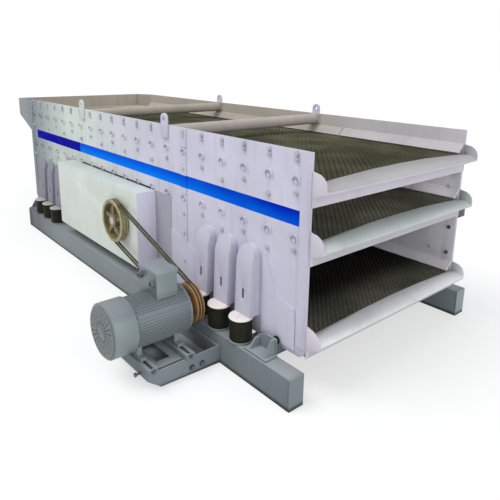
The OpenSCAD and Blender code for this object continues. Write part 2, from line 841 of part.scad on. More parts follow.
module mid_shaft() {
  shaft(shaft_xs[1], -guard_y + 14);
}

module idle_shaft() {
  shaft(shaft_xs[2], -guard_y + 14);
}

// straight-flanked spur gear; phase turns it in degrees
module gear(x, phase) {
  pr = shaft_pitch / 2;
  ro = pr + tooth_m * 0.9;
  ri = pr - tooth_m * 1.2;
  wo = tooth_m * 0.3;
  wi = tooth_m * 1.1;
  color(steel_dark) across(-gear_y0 - gear_t, -gear_y0) translate([x, drive_z]) rotate(phase)
    difference() {
      union() {
        circle(r = ri);
        for (i = [0:gear_teeth - 1]) rotate(i * 360 / gear_teeth)
          polygon([[ri - 3, -wi], [ro, -wo], [ro, wo], [ri - 3, wi]]);
      }
      circle(r = shaft_r);
      for (a = [0:60:300]) rotate(a) translate([pr * 0.58, 0]) circle(r = pr * 0.2);
    }
}

module drive_gear() {
  gear(shaft_xs[0], 180 / gear_teeth);
}

module mid_gear() {
  gear(shaft_xs[1], 0);
}

module idle_gear() {
  gear(shaft_xs[2], 180 / gear_teeth);
}

// half-disc weights that hang below the shaft, one at each end
module weights(x) {
  color(steel_dark) both_sides() across(-weight_y0 - weight_t, -weight_y0)
    translate([x, drive_z]) difference() {
      intersection() {
        circle(r = weight_r);
        translate([-weight_r, -weight_r]) square([2 * weight_r, weight_r + 40]);
        polygon([[-shaft_r - 26, 40], [shaft_r + 26, 40], [weight_r, -110], [weight_r, -weight_r],
          [-weight_r, -weight_r], [-weight_r, -110]]);
      }
      circle(r = shaft_r);
    }
}

module drive_weights() {
  weights(shaft_xs[0]);
}

module mid_weights() {
  weights(shaft_xs[1]);
}

module idle_weights() {
  weights(shaft_xs[2]);
}

// ---- what is drawn ----

base_girders();
girder_ends();
base_cross_members();
foundation_lugs();
spring_seats();
rubber_springs();
stop_brackets();
stop_buffers();
motor_bracket();
slide_rails();
adjusting_screws();
motor_frame();
motor_cowl();
terminal_box();
cable_glands();
v_belts();
motor_shaft();
motor_sheave();
motor_fan();
side_plate_drive();
side_plate_far();
plate_doublers();
top_deck_beams();
mid_deck_beams();
low_deck_beams();
top_crown_rails();
mid_crown_rails();
low_crown_rails();
top_mesh();
mid_mesh();
low_mesh();
tension_rails();
tension_hoods();
top_tubes();
lifting_lugs();
feed_box();
top_chute();
mid_chute();
low_chute();
spring_caps();
spring_brackets();
exciter_tubes();
bearing_housings();
drive_guard();
far_guard();
drive_shaft();
drive_gear();
drive_weights();
driven_sheave();
mid_shaft();
mid_gear();
mid_weights();
idle_shaft();
idle_gear();
idle_weights();
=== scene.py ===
"""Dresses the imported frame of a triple-deck vibrating screen: paint, wire cloth, rubber, bolts and light.

X runs from the feed end to the discharge end, Y across with the drive at -Y, Z up. Lengths are in metres.
"""

import json
import math

import bpy
from mathutils import Matrix, Vector


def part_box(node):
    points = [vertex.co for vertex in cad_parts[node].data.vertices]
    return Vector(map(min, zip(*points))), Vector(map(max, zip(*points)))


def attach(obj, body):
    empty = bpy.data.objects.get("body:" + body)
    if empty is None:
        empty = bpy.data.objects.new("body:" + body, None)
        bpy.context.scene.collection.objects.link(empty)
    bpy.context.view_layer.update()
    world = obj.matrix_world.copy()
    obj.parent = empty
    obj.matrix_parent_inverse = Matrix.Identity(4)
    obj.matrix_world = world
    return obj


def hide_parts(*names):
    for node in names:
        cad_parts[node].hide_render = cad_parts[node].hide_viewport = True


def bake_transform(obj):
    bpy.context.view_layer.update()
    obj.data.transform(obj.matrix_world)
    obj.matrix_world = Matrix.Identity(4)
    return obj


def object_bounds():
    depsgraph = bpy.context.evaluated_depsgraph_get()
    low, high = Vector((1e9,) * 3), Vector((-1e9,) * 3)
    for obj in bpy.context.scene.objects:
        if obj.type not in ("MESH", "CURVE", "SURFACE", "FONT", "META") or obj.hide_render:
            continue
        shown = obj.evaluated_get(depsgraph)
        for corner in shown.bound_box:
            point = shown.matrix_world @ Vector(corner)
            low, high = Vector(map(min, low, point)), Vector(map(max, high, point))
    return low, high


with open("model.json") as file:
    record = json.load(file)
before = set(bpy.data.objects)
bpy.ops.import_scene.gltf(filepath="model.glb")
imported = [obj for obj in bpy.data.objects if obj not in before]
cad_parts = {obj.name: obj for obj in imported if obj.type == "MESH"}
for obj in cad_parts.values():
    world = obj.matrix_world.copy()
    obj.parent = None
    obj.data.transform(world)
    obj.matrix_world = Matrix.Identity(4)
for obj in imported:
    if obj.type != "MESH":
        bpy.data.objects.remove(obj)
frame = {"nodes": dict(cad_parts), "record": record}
cad_low, cad_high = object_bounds()

# ---- places, from the frame ----

plate_low, plate_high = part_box("side_plate_drive")
guard_low, guard_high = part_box("drive_guard")

# outer faces of the drive side's plate and of the doublers on it, and inner face of the far side's plate
PLATE_Y = plate_low.y
DOUBLER_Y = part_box("plate_doublers")[0].y
INNER_Y = -plate_high.y
PLATE_TOP = plate_high.z
HALF_LENGTH = plate_high.x

# hoods over the tensioning bolts, in two rows on each side plate
HOOD_PITCH = 0.240
HOODS_PER_HALF = 10
HOOD_XS = sorted(side * (i + 0.5) * HOOD_PITCH for side in (-1, 1) for i in range(HOODS_PER_HALF))
UPPER_HOOD_Z = 1.380
LOWER_HOOD_Z = 1.019

# middle of the side plates' splice strap, and how far the exciter pads reach past the guard's ends
SPLICE_X = 4.5 * HOOD_PITCH
PAD_REACH = 0.240

# rise of a screening cloth at mid width, and radius of its arc
CROWN = 0.030
ARC_RADIUS = (INNER_Y ** 2 + CROWN ** 2) / (2 * CROWN)

# ---- small helpers ----

# points closer than this are one point: on a piece from the frame, and where two lengths of wire meet
SAME_POINT = 0.00005
WIRE_JOINT = 0.0001
# the angle up to which faces count as one flat face, and the angle from which an edge is rounded
FLAT_ANGLE = math.radians(1)
ROUNDED_ANGLE = math.radians(40)
# the angles up to which shading is smooth, on solid pieces and on wire
SMOOTH_ANGLE = math.radians(35)
WIRE_SMOOTH_ANGLE = math.radians(100)
# a face looks along an axis when its normal has more than this along it
LOOKS_ALONG = 0.9


def deselect_all():
    """Leaves edit mode and selects nothing."""
    if bpy.context.mode != "OBJECT":
        bpy.ops.object.mode_set(mode="OBJECT")
    bpy.ops.object.select_all(action="DESELECT")


def take(piece):
    """Makes one object the only one selected, and the active one."""
    deselect_all()
    piece.select_set(True)
    bpy.context.view_layer.objects.active = piece


def edit(piece, kind="FACE"):
    """Opens a piece in edit mode with nothing selected."""
    take(piece)
    bpy.ops.object.mode_set(mode="EDIT")
    bpy.ops.mesh.select_mode(type=kind)
    bpy.ops.mesh.select_all(action="DESELECT")


def pick_faces(piece, wanted):
    """Selects the faces whose normal passes the test wanted(normal)."""
    bpy.ops.object.mode_set(mode="OBJECT")
    for face in piece.data.polygons:
        face.select = wanted(face.normal)
    bpy.ops.object.mode_set(mode="EDIT")


def stop_editing():
    """Leaves edit mode."""
    bpy.ops.object.mode_set(mode="OBJECT")


def modify(piece, kind, **settings):
    """Adds a modifier and applies it."""
    take(piece)
    modifier = piece.modifiers.new(kind.lower(), kind)
    for key, value in settings.items():
        setattr(modifier, key, value)
    bpy.ops.object.modifier_apply(modifier=modifier.name)


def copied(piece, matrix):
    """A copy with its own mesh, moved by the matrix."""
    twin = piece.copy()
    twin.data = piece.data.copy()
    bpy.context.scene.collection.objects.link(twin)
    twin.data.transform(matrix)
    return twin


def joined(pieces):
    """All the pieces as one object."""
    deselect_all()
    for piece in pieces:
        piece.select_set(True)
    bpy.context.view_layer.objects.active = pieces[0]
    bpy.ops.object.join()
    return pieces[0]


def scattered(pattern, matrices):
    """One piece made of a copy of the pattern at each matrix; the pattern itself is used up."""
    copies = [copied(pattern, matrix) for matrix in matrices]
    bpy.data.objects.remove(pattern)
    return joined(copies)


def repeated(piece, count, step, merge=False):
    """A row of copies, each one step on from the last; with merge, neighbours share the ends that meet."""
    modify(piece, "ARRAY", count=count, use_relative_offset=False, use_constant_offset=True,
           constant_offset_displace=step, use_merge_vertices=merge, merge_threshold=WIRE_JOINT)
    return piece


def settle(piece, name, body, material, smooth_angle=SMOOTH_ANGLE):
    """Finishes a new piece: its place goes into its mesh, and it gets its name, body and material.

    A piece that will bend between two bodies is given no body here.
    """
    take(piece)
    bpy.ops.object.transform_apply(location=True, rotation=True, scale=True)
    bpy.ops.object.shade_smooth_by_angle(angle=smooth_angle)
    piece.name = name
    piece.data.name = name
    piece.data.materials.clear()
    piece.data.materials.append(material)
    if body is not None:
        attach(piece, body)
    return piece


def cylinder(radius, depth, sides, centre, axis):
    """A closed cylinder along X or Y."""
    turn = {"X": (0, math.pi / 2, 0), "Y": (math.pi / 2, 0, 0)}[axis]
    bpy.ops.mesh.primitive_cylinder_add(
        vertices=sides, radius=radius, depth=depth, location=centre, rotation=turn
    )
    piece = bpy.context.active_object
    take(piece)
    bpy.ops.object.transform_apply(location=True, rotation=True, scale=True)
    return piece


def block(low, high):
    """A box from two corners."""
    bpy.ops.mesh.primitive_cube_add(size=1)
    piece = bpy.context.active_object
    centre = [(a + b) / 2 for a, b in zip(low, high)]
    size = [b - a for a, b in zip(low, high)]
    piece.data.transform(Matrix.Translation(centre) @ Matrix.Diagonal((*size, 1)))
    return piece


def body_of(node):
    """The body that holds a node, from the record."""
    bodies = frame["record"]["behaviour"]["bodies"]
    return next(body for body, nodes in bodies.items() if node in nodes)


def slot_of(node):
    """The material slot of a node, from the record."""
    return next(s["material_slot"] for s in frame["record"]["subparts"] if s["node"] == node)


def softened(node, width, bends=False):
    """Stands a merged copy with rounded edges in a CAD node's place."""
    source = frame["nodes"][node]
    mesh = source.data.copy()
    mesh.transform(source.matrix_world)
    piece = bpy.data.objects.new(node + "_softened", mesh)
    bpy.context.scene.collection.objects.link(piece)
    edit(piece, "VERT")
    bpy.ops.mesh.select_all(action="SELECT")
    bpy.ops.mesh.remove_doubles(threshold=SAME_POINT)
    bpy.ops.mesh.customdata_custom_splitnormals_clear()
    bpy.ops.mesh.dissolve_limited(angle_limit=FLAT_ANGLE)
    stop_editing()
    modify(piece, "BEVEL", width=width, segments=2, limit_method="ANGLE", angle_limit=ROUNDED_ANGLE)
    slot = slot_of(node)
    settle(piece, node + "_softened", None if bends else body_of(node), finishes[slot])
    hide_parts(node)
    return piece


# ---- materials ----


class Finish:
    """A material under construction, with short calls for the nodes that it needs.

    Its along, across and height carry the X, Y and Z place of the point that is shaded.
    """

    def __init__(self, name, roughness, metallic=0.0, specular=0.5):
        self.material = bpy.data.materials.new(name)
        self.material.use_nodes = True
        self.nodes = self.material.node_tree.nodes
        self.links = self.material.node_tree.links
        self.surface = self.nodes["Principled BSDF"]
        self.surface.inputs["Roughness"].default_value = roughness
        self.surface.inputs["Metallic"].default_value = metallic
        self.surface.inputs["Specular IOR Level"].default_value = specular
        self.place = self.nodes.new("ShaderNodeTexCoord").outputs["Object"]
        axes = self.nodes.new("ShaderNodeSeparateXYZ")
        self.links.new(self.place, axes.inputs[0])
        self.along, self.across, self.height = axes.outputs
        self.relief = None

    def feed(self, socket, value):
        """Links an output to a node's input, or sets the input to a colour or a number."""
        if hasattr(value, "links"):
            self.links.new(value, socket)
        elif isinstance(value, tuple):
            socket.default_value = (*value, 1.0)
        else:
            socket.default_value = value

    def noise(self, scale, detail, stretch=(1, 1, 1)):
        """A cloudy pattern around 0.5; a stretch below 1 draws it out along that axis."""
        mapping = self.nodes.new("ShaderNodeMapping")
        mapping.inputs["Scale"].default_value = stretch
        self.links.new(self.place, mapping.inputs["Vector"])
        texture = self.nodes.new("ShaderNodeTexNoise")
        texture.inputs["Scale"].default_value = scale
        texture.inputs["Detail"].default_value = detail
        self.links.new(mapping.outputs["Vector"], texture.inputs["Vector"])
        return texture.outputs["Fac"]

    def calc(self, operation, *values):
        """The result of a sum or comparison, by the name of its operation."""
        node = self.nodes.new("ShaderNodeMath")
        node.operation = operation
        for socket, value in zip(node.inputs, values):
            self.feed(socket, value)
        return node.outputs[0]

    def spread(self, value, low, high, to_low=0.0, to_high=1.0):
        """Maps low..high to to_low..to_high, with a smooth start and end."""
        node = self.nodes.new("ShaderNodeMapRange")
        node.interpolation_type = "SMOOTHSTEP"
        for key, number in (("From Min", low), ("From Max", high), ("To Min", to_low), ("To Max", to_high)):
            node.inputs[key].default_value = number
        self.links.new(value, node.inputs["Value"])
        return node.outputs["Result"]

    def between(self, value, low, high):
        """1 where the value lies between low and high, else 0."""
        return self.calc("COMPARE", value, (low + high) / 2, (high - low) / 2)

    def all_of(self, *masks):
        """The product of the masks, which is 1 where every mask is 1."""
        product = masks[0]
        for mask in masks[1:]:
            product = self.calc("MULTIPLY", product, mask)
        return product

    def off_middle(self):
        """Distance from the middle plane, on either side."""
        return self.calc("ABSOLUTE", self.across)

    def off_axis(self, centre_x, centre_z):
        """Distance from a line that runs along Y through the centre."""
        sideways = self.calc("SUBTRACT", self.along, centre_x)
        upwards = self.calc("SUBTRACT", self.height, centre_z)
        squares = (self.calc("MULTIPLY", sideways, sideways), self.calc("MULTIPLY", upwards, upwards))
        return self.calc("SQRT", self.calc("ADD", *squares))

    def facing(self, axis, low=0.5, high=0.9):
        """1 on faces that look along the named axis, 0 on faces that look elsewhere."""
        geometry = self.nodes.new("ShaderNodeNewGeometry")
        split = self.nodes.new("ShaderNodeSeparateXYZ")
        self.links.new(geometry.outputs["Normal"], split.inputs[0])
        return self.spread(split.outputs[axis], low, high)

    def blend(self, factor, first, second, kind="MIX"):
        """The first colour where the factor is 0, the second where it is 1."""
        node = self.nodes.new("ShaderNodeMix")
        node.data_type = "RGBA"
        node.blend_type = kind
        self.feed(node.inputs["Factor"], factor)
        self.feed(node.inputs["A"], first)
        self.feed(node.inputs["B"], second)
        return node.outputs["Result"]

    def shade(self, colour, factor):
        """A lighter or darker version of a colour, or of an output that carries one."""
        if isinstance(colour, tuple):
            return tuple(min(1.0, part * factor) for part in colour)
        return self.blend(1.0, colour, (factor, factor, factor), kind="MULTIPLY")

    def bump(self, pattern, strength, distance):
        """Adds a pattern to the relief of the surface."""
        node = self.nodes.new("ShaderNodeBump")
        node.inputs["Strength"].default_value = strength
        node.inputs["Distance"].default_value = distance
        self.links.new(pattern, node.inputs["Height"])
        if self.relief is not None:
            self.links.new(self.relief, node.inputs["Normal"])
        self.relief = node.outputs["Normal"]

    def done(self, colour, roughness=None):
        """The material, with its colour and relief, and a roughness pattern if one is given."""
        self.feed(self.surface.inputs["Base Color"], colour)
        if roughness is not None:
            self.links.new(roughness, self.surface.inputs["Roughness"])
        if self.relief is not None:
            self.links.new(self.relief, self.surface.inputs["Normal"])
        return self.material


# how far past the surface of a plate, and of other sheet, a mask reaches to take in that surface
PLATE_SKIN = 0.0015
SHEET_SKIN = 0.002

# heights over which a tone changes from the bottom deck's to the middle one's, and on to the top one's
BOTTOM_TO_MIDDLE = (0.6, 0.8)
MIDDLE_TO_TOP = (1.15, 1.3)

# reach of the blue stripe along and up the drive side, and where its navy part ends
STRIPE_XS = (-2.206, 2.319)
STRIPE_ZS = (1.105, 1.203)
STRIPE_NAVY_END = -0.90


def painted_coat(finish, colour, dust, dust_amount):
    """Sprayed paint: cloudy tone, faint vertical runs of dust, orange peel and a soft waviness."""
    cloud = finish.spread(finish.noise(2.4, detail=4), 0.35, 0.65)
    coat = finish.blend(cloud, finish.shade(colour, 0.955), finish.shade(colour, 1.03))
    runs = finish.spread(finish.noise(14, detail=3, stretch=(1, 1, 0.1)), 0.5, 0.8)
    coat = finish.blend(finish.calc("MULTIPLY", runs, dust_amount), coat, dust)
    specks = finish.spread(finish.noise(90, detail=2), 0.66, 0.74, 0, 0.25)
    coat = finish.blend(specks, coat, dust)
    orange_peel = finish.noise(330, detail=1)
    finish.bump(orange_peel, 0.06, 0.0006)
    waviness = finish.noise(5, detail=1)
    finish.bump(waviness, 0.25, 0.004)
    return coat


def paint(name, colour, dust, dust_amount):
    """Paint of one colour, glossier in some patches than in others."""
    roughness = 0.42
    finish = Finish(name, roughness)
    coat = painted_coat(finish, colour, dust, dust_amount)
    gloss = finish.spread(finish.noise(7, detail=3), 0.3, 0.7, roughness - 0.06, roughness + 0.1)
    return finish.done(coat, gloss)


def stripe_blue(finish):
    """The stripe's enamel: navy at the feed end, then bright, deeper at its top and its discharge end."""
    deepening = finish.spread(finish.along, 0.6, 2.3)
    lower_blue = finish.blend(deepening, (0.002, 0.205, 0.90), (0.001, 0.08, 0.64))
    upper_blue = finish.blend(deepening, (0.002, 0.088, 0.70), (0.001, 0.018, 0.45))
    cloud_blue = (0.002, 0.16, 0.78)
    navy = (0.001, 0.002, 0.33)

    blue = finish.blend(finish.spread(finish.height, *STRIPE_ZS), lower_blue, upper_blue)
    clouds = finish.spread(finish.noise(3, detail=2, stretch=(1, 1, 3)), 0.4, 0.7, 0, 0.25)
    blue = finish.blend(clouds, blue, cloud_blue)
    return finish.blend(finish.calc("LESS_THAN", finish.along, STRIPE_NAVY_END), blue, navy)


def screen_box_paint():
    """Pale paint of the screen box, with the blue stripe on the drive side. Painted light turns its outside
    from greenish white to lilac and makes the inside near white below the top deck; painted shade grays
    the exciter pads and darkens the spring brackets.
    """
    green_white = (0.62, 0.68, 0.63)
    lilac_white = (0.60, 0.585, 0.70)
    feed_end_gray = (0.27, 0.31, 0.33)
    dusty_beige = (0.44, 0.395, 0.34)
    dusty_lilac = (0.52, 0.495, 0.52)
    painted_light_white = (0.80, 0.78, 0.83)
    pad_shade_gray = (0.40, 0.39, 0.45)
    bracket_shade_gray = (0.27, 0.27, 0.32)
    bracket_lilac = (0.53, 0.515, 0.61)
    brackets_beyond_y = -0.90
    pad_reach = PAD_REACH + SHEET_SKIN
    pad_drop, pad_rise = 0.052, 0.004

    finish = Finish("screen_box_paint", 0.45, specular=0.004)
    # painted light: the outside turns from greenish white to lilac along the box, standing in for the colour
    # of the light
    outside = finish.blend(finish.spread(finish.along, -1.4, 1.2), green_white, lilac_white)
    outside = finish.blend(finish.spread(finish.along, -2.4, -1.1), feed_end_gray, outside)
    inside = finish.blend(finish.spread(finish.along, 0.4, 1.8), dusty_beige, dusty_lilac)
    # painted light: the inside faces below the top deck are painted near white, against the shade that falls
    # between the decks
    inside = finish.blend(finish.spread(finish.height, 1.25, 1.35), painted_light_white, inside)
    enclosed = finish.calc("LESS_THAN", finish.off_middle(), INNER_Y + PLATE_SKIN)
    coat = painted_coat(finish, finish.blend(enclosed, outside, inside), (0.26, 0.24, 0.24), 0.22)

    # painted shade: the exciter pads around the guard are painted gray for the guard's shade on them
    pads = finish.all_of(
        finish.calc("GREATER_THAN", finish.off_middle(), -DOUBLER_Y - SHEET_SKIN),
        finish.between(finish.height, guard_low.z - pad_drop, guard_high.z + pad_rise),
        finish.between(finish.along, guard_low.x - pad_reach, guard_high.x + pad_reach),
    )
    coat = finish.blend(pads, coat, pad_shade_gray)
    # painted shade: the spring brackets are painted darker than the plate, and gray at the feed end and
    # under the guard, where its shade falls
    bracket_tone = finish.spread(finish.along, guard_low.x, guard_high.x)
    bracket_tone = finish.blend(bracket_tone, bracket_shade_gray, bracket_lilac)
    brackets = finish.calc("LESS_THAN", finish.across, brackets_beyond_y)
    coat = finish.blend(brackets, coat, bracket_tone)
    stripe = finish.all_of(
        finish.between(finish.along, *STRIPE_XS),
        finish.between(finish.height, *STRIPE_ZS),
        finish.calc("LESS_THAN", finish.across, PLATE_Y + PLATE_SKIN),
    )
    return finish.done(finish.blend(stripe, coat, stripe_blue(finish)))


def gear_guard_paint():
    """Greenish white, with a cooler, lighter lilac painted on the ends that look to the discharge end
    as painted light.
    """
    green_white = (0.66, 0.72, 0.655)
    lilac_white = (0.76, 0.735, 0.85)

    finish = Finish("guard_paint", 0.42)
    # painted light: faces that look to the discharge end are painted lighter and lilac
    tone = finish.blend(finish.facing("X"), green_white, lilac_white)
    return finish.done(painted_coat(finish, tone, (0.42, 0.42, 0.38), 0.12))


def base_frame_paint():
    """Blue-gray paint of the base, with painted shade at its foot and feed end, painted light on its
    ends and far side, and pale dust and painted light on what faces up.
    """
    feed_end_wall = (0.105, 0.12, 0.132)
    middle_wall = (0.22, 0.25, 0.268)
    discharge_end_wall = (0.165, 0.195, 0.21)
    end_face = (0.215, 0.255, 0.27)
    dull_top = (0.18, 0.20, 0.215)
    dust_and_light_top = (0.30, 0.325, 0.335)
    feed_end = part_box("base_girders")[0].x

    finish = Finish("base_paint", 0.45, specular=0.05)
    wall = finish.blend(finish.spread(finish.along, -2.1, -1.2), feed_end_wall, middle_wall)
    wall = finish.blend(finish.spread(finish.along, 1.3, 1.9), wall, discharge_end_wall)
    # painted light: faces that look to the discharge end, and every wall on the far side, are painted
    # lighter
    wall = finish.blend(finish.facing("X"), wall, end_face)
    far_side = finish.calc("GREATER_THAN", finish.across, 0.0)
    wall = finish.blend(far_side, wall, finish.shade(wall, 1.35))
    # painted shade: darker along the girders' foot and across their feed end
    foot_shade = finish.spread(finish.height, 0.014, 0.040, 1, 0)
    feed_end_shade = finish.spread(finish.along, feed_end + 0.06, feed_end + 0.14, 0.55, 0)
    girder_shade = finish.calc("MAXIMUM", foot_shade, feed_end_shade)
    wall = finish.blend(girder_shade, wall, finish.shade(wall, 0.3))
    # pale dust and painted light on faces that look up
    top = finish.blend(finish.spread(finish.along, -2.3, -0.9), dull_top, dust_and_light_top)
    tone = finish.blend(finish.facing("Z"), wall, top)
    return finish.done(painted_coat(finish, tone, (0.25, 0.26, 0.265), 0.25))


def spring_cap_paint():
    """Chalky pink-white caps, grayer towards the feed end."""
    feed_end_cap_gray = (0.42, 0.41, 0.40)
    pink_white = (0.85, 0.775, 0.75)

    finish = Finish("cap_paint", 0.45)
    tone = finish.blend(finish.spread(finish.along, -1.3, 0.0), feed_end_cap_gray, pink_white)
    return finish.done(painted_coat(finish, tone, (0.5, 0.42, 0.42), 0.25))


def feed_box_paint():
    """Dusty beige inside, with bluish gray cheeks outside."""
    dusty_beige = (0.36, 0.32, 0.265)
    cheek_gray = (0.22, 0.25, 0.27)

    finish = Finish("feed_paint", 0.5)
    outside = finish.calc("GREATER_THAN", finish.off_middle(), -PLATE_Y - SHEET_SKIN)
    tone = finish.blend(outside, dusty_beige, cheek_gray)
    return finish.done(painted_coat(finish, tone, (0.24, 0.2, 0.15), 0.4))


def chute_paint():
    """Rubbed gray lips, painted lighter from deck to deck downwards against the shade of the decks above,
    with a painted highlight towards their outer edge; lilac back plates and near cheeks, and gray
    far cheeks."""
    bottom_lip = (0.66, 0.665, 0.695)
    middle_lip = (0.475, 0.515, 0.51)
    top_lip = (0.325, 0.322, 0.33)
    lilac_gray = (0.52, 0.515, 0.55)
    lilac_white = (0.62, 0.595, 0.665)
    far_cheek_gray = (0.44, 0.435, 0.45)
    lip_drop = 0.030

    finish = Finish("chute_paint", 0.45, specular=0.25)
    back_plates = 0.0
    for chute, cloth in (("top_chute", "top_mesh"), ("mid_chute", "mid_mesh"), ("low_chute", "low_mesh")):
        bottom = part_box(chute)[0].z
        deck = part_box(cloth)[1].z - CROWN
        back_plate = finish.between(finish.height, bottom, deck - lip_drop)
        back_plates = finish.calc("MAXIMUM", back_plates, back_plate)
    # painted light: the lower lips are painted lighter and the top lip darker, evening out the shade of the
    # decks above
    lip = finish.blend(finish.spread(finish.height, *BOTTOM_TO_MIDDLE), bottom_lip, middle_lip)
    lip = finish.blend(finish.spread(finish.height, *MIDDLE_TO_TOP), lip, top_lip)
    # painted highlight: the lips grow paler towards their outer edge
    outer_edge_highlight = finish.spread(finish.along, HALF_LENGTH - 0.01, cad_high.x)
    lip = finish.blend(outer_edge_highlight, finish.shade(lip, 0.82), finish.shade(lip, 1.3))
    plate_tone = finish.blend(finish.spread(finish.height, 1.15, 1.2), lilac_gray, lilac_white)
    tone = finish.blend(back_plates, lip, plate_tone)
    near_cheeks = finish.calc("LESS_THAN", finish.across, -INNER_Y + 0.012)
    tone = finish.blend(near_cheeks, tone, lilac_white)
    far_cheeks = finish.calc("GREATER_THAN", finish.across, INNER_Y + 0.005)
    tone = finish.blend(far_cheeks, tone, far_cheek_gray)
    return finish.done(painted_coat(finish, tone, (0.32, 0.3, 0.27), 0.15))


def motor_enamel():
    """Blue-gray enamel, darker on the cowl's end, with painted light on the discharge side and between
    the fins, and pale dust and painted light on top.
    """
    enamel = (0.18, 0.21, 0.24)
    discharge_side_light = (0.27, 0.325, 0.325)
    dust_and_light_top = (0.245, 0.273, 0.285)
    painted_light_groove = (0.255, 0.29, 0.32)
    dark_end = (0.125, 0.148, 0.16)
    fin_radii = (0.164, 0.176)
    body_limit = (0.205, 0.21)
    cowl_low, cowl_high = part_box("motor_cowl")
    frame_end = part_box("motor_frame")[1].y

    finish = Finish("motor_enamel", 0.4)
    # painted light: faces that look to the discharge end are painted lighter
    tone = finish.blend(finish.facing("X"), enamel, discharge_side_light)
    # pale dust and painted light on faces that look up
    tone = finish.blend(finish.facing("Z"), tone, dust_and_light_top)
    from_axis = finish.off_axis((cowl_low.x + cowl_high.x) / 2, (cowl_low.z + cowl_high.z) / 2)
    # painted light: the grooves between the fins are painted paler, against the shade that falls in them
    grooves = finish.all_of(
        finish.spread(from_axis, *fin_radii, 1, 0),
        finish.between(finish.across, cowl_high.y, frame_end),
    )
    tone = finish.blend(grooves, tone, painted_light_groove)
    cowl_end = finish.calc("LESS_THAN", finish.across, cowl_low.y + 0.008)
    tone = finish.blend(cowl_end, tone, dark_end)
    body = finish.spread(from_axis, *body_limit, 1, 0)
    tone = finish.blend(body, tone, finish.shade(tone, 0.86))
    return finish.done(painted_coat(finish, tone, (0.3, 0.3, 0.3), 0.25))


def wire_steel():
    """Dusty steel wire, with painted shade where it doesn't face up and over most of the bottom deck."""
    grit_brown = (0.03, 0.026, 0.018)

    finish = Finish("screen_wire", 0.55, 0.3, specular=0.2)
    patches = finish.spread(finish.noise(3.5, detail=4), 0.35, 0.7)
    clean = finish.blend(patches, (0.086, 0.086, 0.05), (0.165, 0.16, 0.094))
    dusty = finish.blend(patches, (0.122, 0.122, 0.09), (0.205, 0.20, 0.15))
    # painted shade: the bottom deck is painted near black under the two decks above, lighter towards the
    # discharge end
    bottom_deck_shade = finish.blend(patches, (0.003, 0.0025, 0.0015), (0.008, 0.0065, 0.004))
    bottom_deck_shade = finish.blend(finish.spread(finish.along, 2.0, 2.35, 0, 0.9), bottom_deck_shade, dusty)
    crown = finish.blend(finish.spread(finish.height, *BOTTOM_TO_MIDDLE), bottom_deck_shade, dusty)
    crown = finish.blend(finish.spread(finish.height, *MIDDLE_TO_TOP), crown, clean)
    # painted shade: the wire is darker where it doesn't face up
    wire = finish.blend(finish.facing("Z", 0.45, 0.95), finish.shade(crown, 0.3), crown)
    grit = finish.noise(160, detail=3)
    wire = finish.blend(finish.spread(grit, 0.5, 0.75, 0, 0.4), wire, grit_brown)
    finish.bump(grit, 0.3, 0.001)
    return finish.done(wire)


def moulded_rubber(name, colour, roughness):
    """Matt rubber with a paler bloom in patches."""
    finish = Finish(name, roughness, specular=0.1)
    bloom = finish.spread(finish.noise(18, detail=4), 0.4, 0.8)
    rubber = finish.blend(bloom, colour, finish.shade(colour, 1.7))
    finish.bump(finish.noise(260, detail=2), 0.12, 0.0006)
    return finish.done(rubber)


def sandy_skin(finish, sand, colour, darkest, lightest, rust, rust_range, rust_amount):
    """The skin of a casting: grainy from its sand mould, with rust in patches."""
    grain = finish.spread(sand, 0.35, 0.7)
    skin = finish.blend(grain, finish.shade(colour, darkest), finish.shade(colour, lightest))
    patches = finish.spread(finish.noise(16, detail=5), *rust_range, 0, rust_amount)
    finish.bump(sand, 0.3, 0.0012)
    return finish.blend(patches, skin, rust)


def cast_iron(name, colour, rust, rust_amount):
    """Painted casting, duller in some grains than in others."""
    finish = Finish(name, 0.55)
    sand = finish.noise(120, detail=4)
    skin = sandy_skin(finish, sand, colour, 0.85, 1.12, rust, (0.5, 0.72), rust_amount)
    return finish.done(skin, finish.spread(sand, 0.3, 0.7, 0.45, 0.7))


def sheave_iron(name, node, rim, web_shade, rust, rust_amount):
    """A cast sheave: a brighter rubbed rim, a web painted dark as painted shade inside the rim, and a turned
    hub.
    """
    turned_hub = (0.45, 0.43, 0.36)
    rim_share = (0.86, 0.92)
    hub_share = (0.14, 0.2)
    low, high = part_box(node)
    outer = (high.x - low.x) / 2

    finish = Finish(name, 0.5)
    from_axis = finish.off_axis((low.x + high.x) / 2, (low.z + high.z) / 2)
    rim_start, rim_full = (share * outer for share in rim_share)
    hub_full, hub_end = (share * outer for share in hub_share)
    # painted shade: the web inside the rim is painted dark
    colour = finish.blend(finish.spread(from_axis, rim_start, rim_full), web_shade, rim)
    colour = finish.blend(finish.spread(from_axis, hub_full, hub_end, 1, 0), colour, turned_hub)
    sand = finish.noise(120, detail=4)
    return finish.done(sandy_skin(finish, sand, colour, 0.8, 1.15, rust, (0.45, 0.65), rust_amount))


def machined_steel(name, colour, roughness):
    """Bare steel with smears of oil."""
    finish = Finish(name, roughness, 0.85)
    smear = finish.noise(40, detail=4)
    steel = finish.blend(finish.spread(smear, 0.4, 0.75), colour, finish.shade(colour, 0.6))
    finish.bump(finish.noise(300, detail=1), 0.08, 0.0004)
    return finish.done(steel, finish.spread(smear, 0.3, 0.8, roughness, roughness + 0.2))


def moulded_plastic(name, colour):
    """Plastic with a slightly uneven tone and a fine grain."""
    finish = Finish(name, 0.4)
    cloud = finish.spread(finish.noise(30, detail=2), 0.4, 0.7)
    plastic = finish.blend(cloud, colour, finish.shade(colour, 1.25))
    finish.bump(finish.noise(500, detail=1), 0.1, 0.0003)
    return finish.done(plastic)


